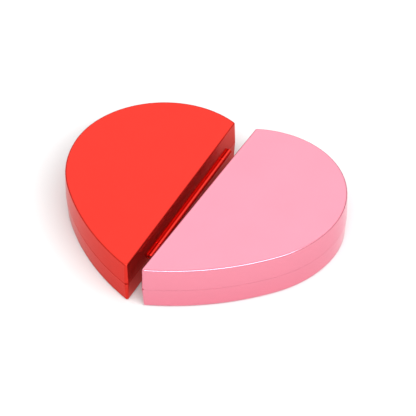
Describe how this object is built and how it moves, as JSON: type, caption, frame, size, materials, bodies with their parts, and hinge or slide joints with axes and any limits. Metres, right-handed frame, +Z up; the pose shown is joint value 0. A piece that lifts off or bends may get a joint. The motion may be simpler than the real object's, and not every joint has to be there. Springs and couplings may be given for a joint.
{
  "type": "wind up music box",
  "caption": "Heart-shaped music box in two separate half-heart clamshell cases: a pinned-cylinder movement with a folding key in one, a lined tray of ring rolls in the other.",
  "frame": {"origin": "middle of the bounding box of the two closed halves, on the surface they stand on", "axes": "+Z up, +Y from the heart's tip to its cleft, +X towards the pink half"},
  "size_m": [0.1934, 0.165, 0.0316],
  "materials": {
    "red_lacquer": "metallic red lacquer, satin gloss",
    "pink_lacquer": "metallic pink lacquer, satin gloss",
    "steel": "ground and polished steel",
    "brass": "turned and polished brass",
    "mirror": "silvered glass",
    "red_velvet": "short pile velvet",
    "cream_velvet": "short pile velvet",
    "clear_cover": "clear moulded acrylic",
    "felt": "dark felt"
  },
  "bodies": {
    "red_half": {"red_base_shell": "red_lacquer", "red_hinge_pin": "steel", "red_tray": "red_velvet", "red_pad_1": "felt", "red_pad_2": "felt", "red_pad_3": "felt", "red_pad_4": "felt", "bedplate": "steel", "spring_housing": "steel", "mainspring": "steel", "cylinder_bearing_left": "steel", "cylinder_bearing_right": "steel", "comb": "steel", "comb_screw_1": "steel", "comb_screw_2": "steel", "comb_screw_3": "steel", "governor_frame": "steel", "movement_screw_1": "steel", "movement_screw_2": "steel", "movement_screw_3": "steel", "movement_cover": "clear_cover"},
    "red_lid": {"red_lid_shell": "red_lacquer", "red_lid_mirror": "mirror", "red_lid_catch": "steel"},
    "pink_half": {"pink_base_shell": "pink_lacquer", "pink_hinge_pin": "steel", "pink_tray": "cream_velvet", "pink_pad_1": "felt", "pink_pad_2": "felt", "pink_pad_3": "felt", "pink_pad_4": "felt", "ring_roll_1": "cream_velvet", "ring_roll_2": "cream_velvet", "ring_roll_3": "cream_velvet", "ring_roll_4": "cream_velvet", "ring_roll_5": "cream_velvet", "ring_roll_6": "cream_velvet", "ring_roll_7": "cream_velvet"},
    "pink_lid": {"pink_lid_shell": "pink_lacquer", "pink_lid_mirror": "mirror", "pink_lid_catch": "steel"},
    "winding_key": {"key_hub": "brass", "key_pin_left": "steel", "key_pin_right": "steel", "winding_arbor": "steel"},
    "key_grip": {"key_grip": "brass"},
    "drive_wheel": {"drive_wheel": "brass"},
    "cylinder": {"cylinder_arbor": "steel", "pinned_cylinder": "brass", "cylinder_wheel": "brass"},
    "governor_wheel": {"governor_wheel": "brass"},
    "air_brake_fan": {"air_brake_fan": "steel"},
    "stop_plunger": {"stop_plunger": "steel"}
  },
  "joints": [
    {"name": "red_lid_hinge", "type": "hinge", "parent": "red_half", "child": "red_lid", "pos_m": [-0.00518, 0.00557, 0.0151], "axis": [-0.0178, 0.9998, 0], "range_deg": [0, 95]},
    {"name": "pink_half_slide", "type": "slide", "parent": "red_half", "child": "pink_half", "axis": [1, 0, 0], "range_m": [0, 0.0448]},
    {"name": "pink_lid_hinge", "type": "hinge", "parent": "pink_half", "child": "pink_lid", "pos_m": [0.00518, 0.00637, 0.0151], "axis": [-0.0178, -0.9998, 0], "range_deg": [0, 95]},
    {"name": "stop_plunger_slide", "type": "slide", "parent": "red_half", "child": "stop_plunger", "axis": [0, 0, 1], "range_m": [0, 0.001]},
    {"name": "winding_key_turn", "type": "hinge", "parent": "red_half", "child": "winding_key", "pos_m": [-0.04067, 0.04394, 0.0131], "axis": [0, 0, 1], "continuous": true},
    {"name": "key_grip_fold", "type": "hinge", "parent": "winding_key", "child": "key_grip", "pos_m": [-0.04067, 0.04394, 0.0036], "axis": [-0.0178, 0.9998, 0], "range_deg": [0, 90]},
    {"name": "cylinder_turn", "type": "hinge", "parent": "red_half", "child": "cylinder", "pos_m": [-0.04027, 0.02125, 0.0176], "axis": [0.0178, -0.9998, 0], "continuous": true},
    {"name": "drive_wheel_turn", "type": "hinge", "parent": "red_half", "child": "drive_wheel", "pos_m": [-0.04067, 0.04394, 0.0131], "axis": [0, 0, 1], "continuous": true},
    {"name": "governor_wheel_turn", "type": "hinge", "parent": "red_half", "child": "governor_wheel", "pos_m": [-0.0314, 0.00611, 0.0176], "axis": [0.0178, -0.9998, 0], "continuous": true},
    {"name": "air_brake_turn", "type": "hinge", "parent": "red_half", "child": "air_brake_fan", "pos_m": [-0.03585, 0.00343, 0.0176], "axis": [0, 0, 1], "continuous": true}
  ],
  "couplings": [
    {"joint": "pink_lid_hinge", "follows": "red_lid_hinge", "ratio": 1},
    {"joint": "pink_half_slide", "follows": "red_lid_hinge", "m_per_rad": 0.027},
    {"joint": "stop_plunger_slide", "follows": "red_lid_hinge", "m_per_rad": 0.0006},
    {"joint": "drive_wheel_turn", "follows": "cylinder_turn", "ratio": 0.27778},
    {"joint": "governor_wheel_turn", "follows": "cylinder_turn", "ratio": -4.25},
    {"joint": "air_brake_turn", "follows": "cylinder_turn", "ratio": -68}
  ]
}
